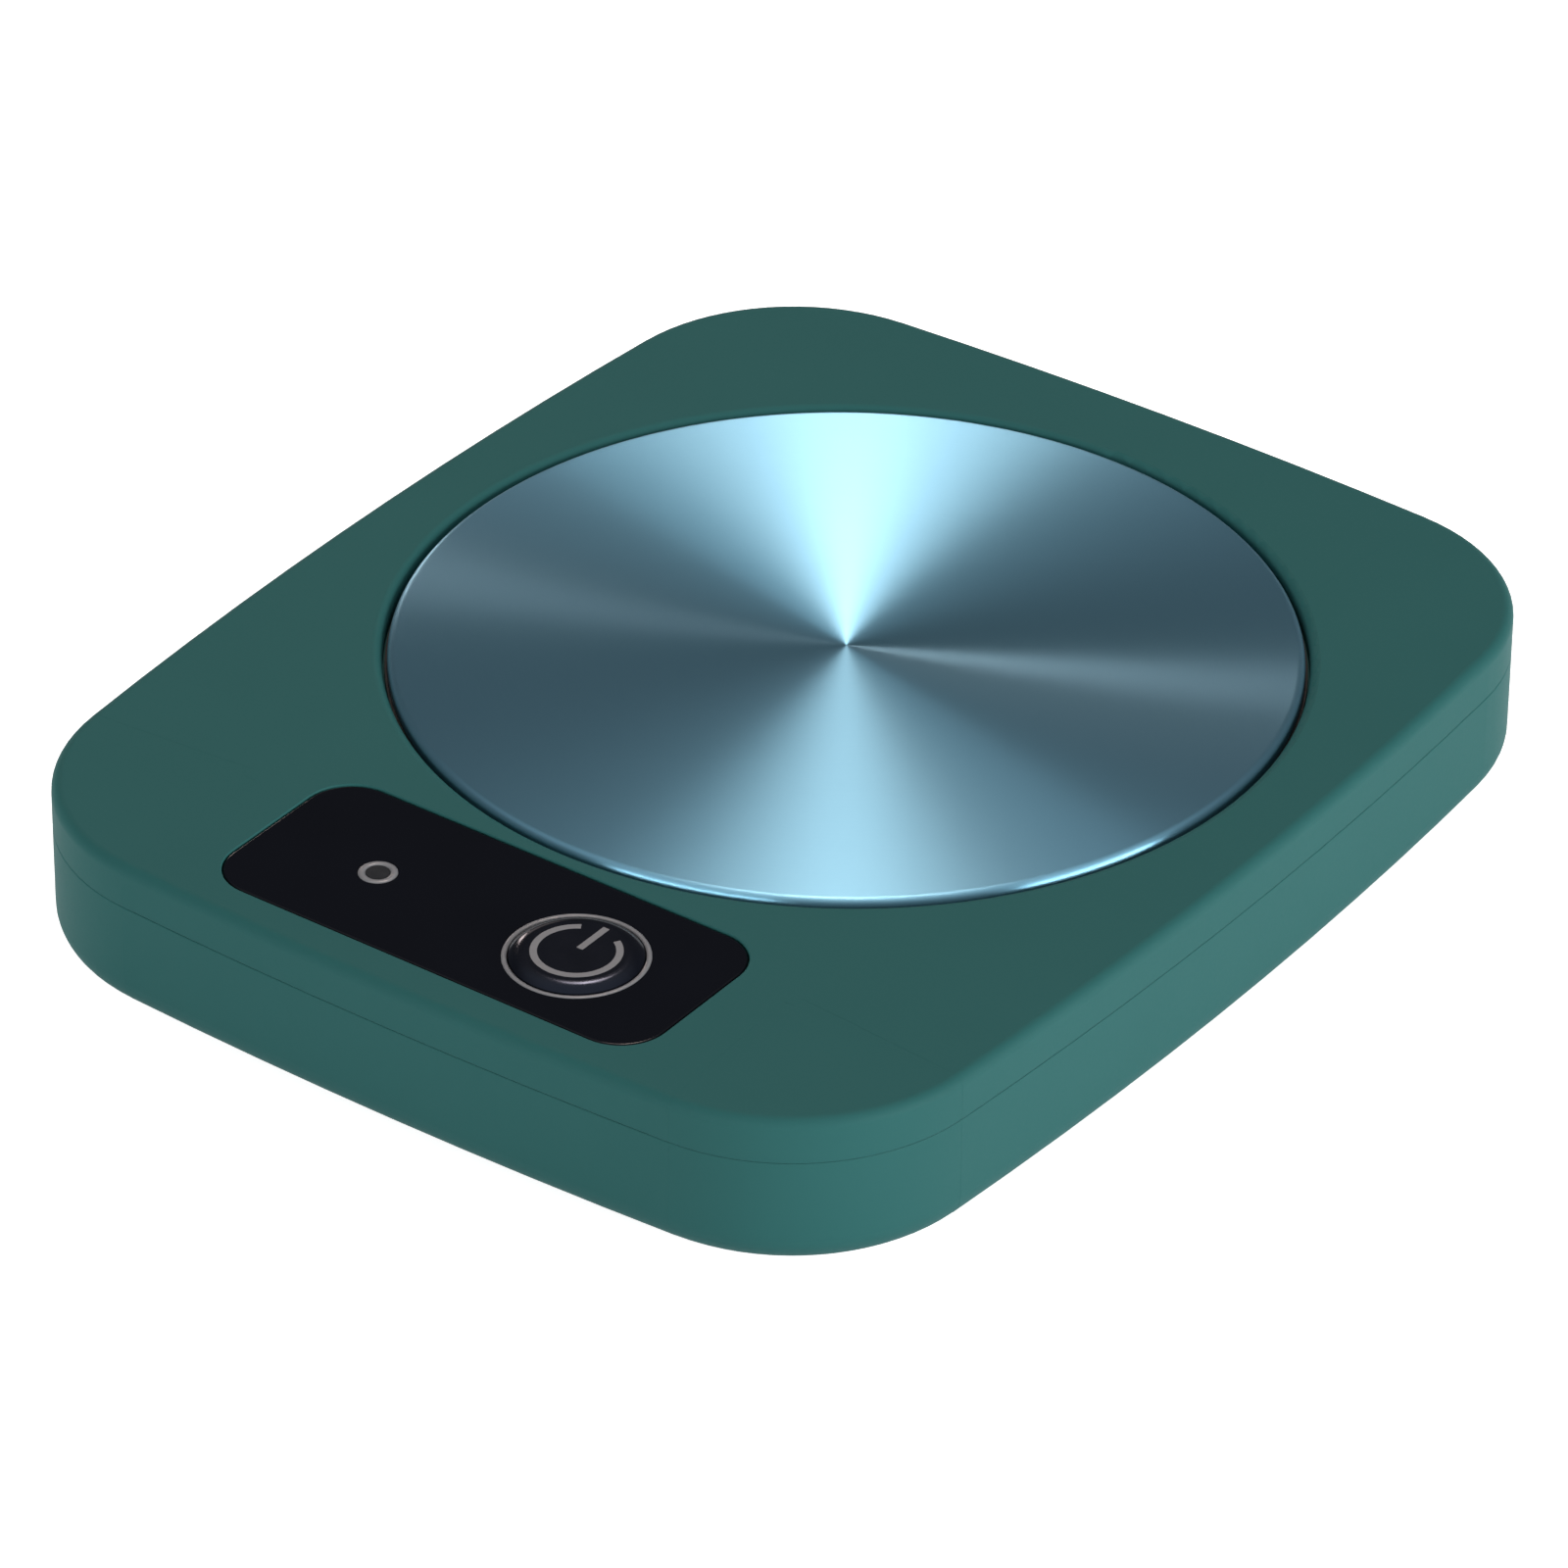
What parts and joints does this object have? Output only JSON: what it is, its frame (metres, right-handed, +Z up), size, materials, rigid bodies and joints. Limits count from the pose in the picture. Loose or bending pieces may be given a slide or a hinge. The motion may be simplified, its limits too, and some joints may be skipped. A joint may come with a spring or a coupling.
{
  "type": "electric mug warmer",
  "caption": "Flat desk warmer for a mug: rounded square body, round aluminium hot plate, gloss control panel with a push button and a pilot light, USB-C inlet at the back.",
  "frame": {"origin": "on the table under the middle of the body, in the plane of the feet", "axes": "+X to the right and +Y to the back for a user who faces the control panel; +Z up"},
  "size_m": [0.107, 0.1296, 0.018],
  "materials": {
    "shell_plastic": "fine-textured moulded ABS, satin",
    "anodised_plate": "spun aluminium, anodised slate blue",
    "silicone": "matte moulded silicone",
    "polyimide_film": "amber polyimide film over an etched foil",
    "mica_pad": "pressed mica and ceramic paper",
    "spring_steel": "zinc-plated sheet steel",
    "screw_steel": "zinc-plated steel",
    "ceramic": "glazed ceramic body",
    "panel_gloss": "back-painted acrylic, gloss black",
    "adhesive_tape": "black foam tape",
    "grey_print": "grey inlay under clear lacquer",
    "button_gloss": "gloss black ABS",
    "chip_plastic": "moulded epoxy",
    "switch_cover": "tinned steel cover",
    "smoked_acrylic": "smoked acrylic, polished ends",
    "led_resin": "clear resin over a white body",
    "board_laminate": "glass-fibre laminate with green solder mask",
    "can_aluminium": "drawn aluminium can",
    "nylon_white": "natural nylon",
    "inlet_steel": "nickel-plated steel",
    "contact_gold": "gold-plated copper alloy",
    "lead_red": "red silicone insulation",
    "lead_white": "white silicone insulation",
    "lead_black": "black silicone insulation",
    "glass_bead": "glass-sealed bead",
    "foot_rubber": "matte moulded rubber"
  },
  "bodies": {
    "housing": {"upper_shell": "shell_plastic", "lower_shell": "shell_plastic", "heating_plate": "anodised_plate", "plate_gasket": "silicone", "heater_film": "polyimide_film", "insulation_pad": "mica_pad", "pressure_plate": "spring_steel", "plate_screws": "screw_steel", "thermal_fuse": "ceramic", "fuse_clip": "spring_steel", "thermistor": "glass_bead", "sensor_boot": "silicone", "control_panel": "panel_gloss", "panel_tape": "adhesive_tape", "button_ring": "grey_print", "switch_body": "switch_cover", "light_ring": "grey_print", "light_pipe": "smoked_acrylic", "led": "led_resin", "control_board": "board_laminate", "control_chip": "chip_plastic", "power_transistor": "chip_plastic", "capacitor": "can_aluminium", "chip_resistors": "chip_plastic", "wire_connectors": "nylon_white", "inlet_board": "board_laminate", "usb_shell": "inlet_steel", "usb_tongue": "chip_plastic", "usb_contacts": "contact_gold", "power_leads": "lead_red", "heater_leads": "lead_white", "sensor_leads": "lead_black", "case_screws": "screw_steel", "board_screws": "screw_steel", "inlet_screws": "screw_steel", "rubber_feet": "foot_rubber"},
    "button": {"power_button": "button_gloss", "power_symbol": "grey_print", "switch_plunger": "chip_plastic"}
  },
  "joints": [
    {"name": "power_press", "type": "slide", "parent": "housing", "child": "button", "axis": [0, 0, -1], "range_m": [0, 0.0005], "stiffness_N_per_m": 2000}
  ]
}
